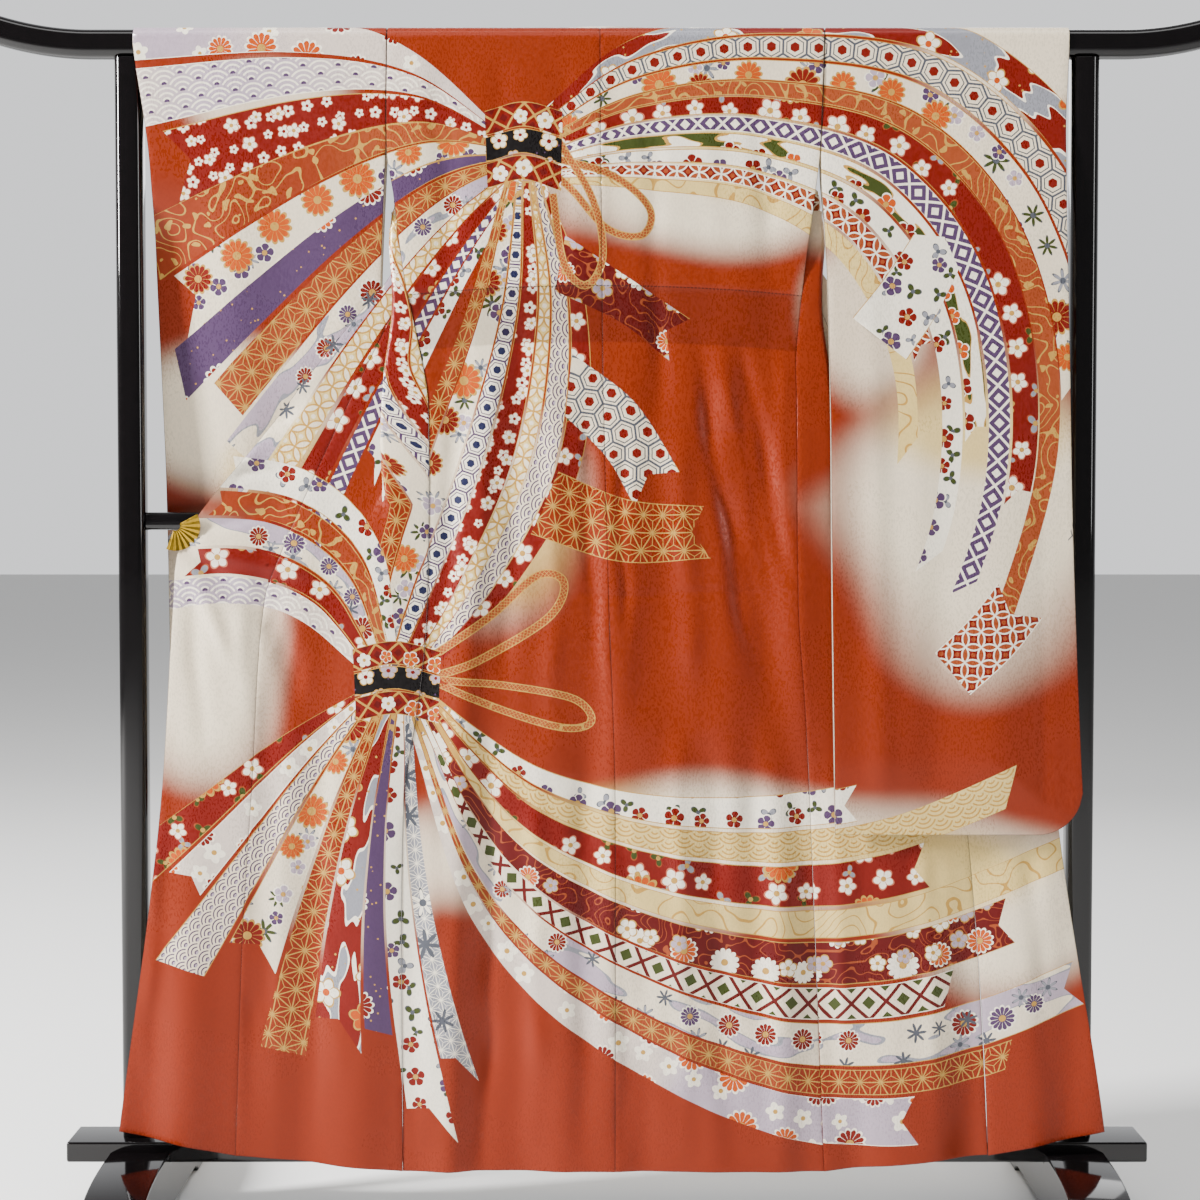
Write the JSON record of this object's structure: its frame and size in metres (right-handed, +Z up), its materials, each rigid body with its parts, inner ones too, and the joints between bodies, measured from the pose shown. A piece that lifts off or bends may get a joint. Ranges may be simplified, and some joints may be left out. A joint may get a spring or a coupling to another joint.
{
  "type": "furisode on a kimono stand",
  "caption": "Long-sleeved silk kimono hung over a black lacquered stand, seen from its back, with both fronts opened outwards and clipped.",
  "frame": {"origin": "on the floor under the middle of the stand", "axes": "+Z up, +X along the rails to the viewer's right, -Y towards the viewer, who sees the back of the garment"},
  "size_m": [1.8856, 0.54, 1.7619],
  "materials": {
    "silk": "satin-faced figured silk crepe, dyed, with a pale silk lining",
    "lacquer": "black lacquer, high gloss",
    "brass": "satin gold-coloured brass"
  },
  "bodies": {
    "root": {"body_left": "silk", "body_right": "silk", "okumi_left": "silk", "okumi_right": "silk", "sleeve_left": "silk", "sleeve_right": "silk", "collar": "silk", "top_rail": "lacquer", "middle_rail": "lacquer", "sill": "lacquer", "upright_left": "lacquer", "upright_right": "lacquer", "foot_left": "lacquer", "foot_right": "lacquer", "clip_fan_left": "brass", "clip_fan_right": "brass"}
  },
  "joints": []
}
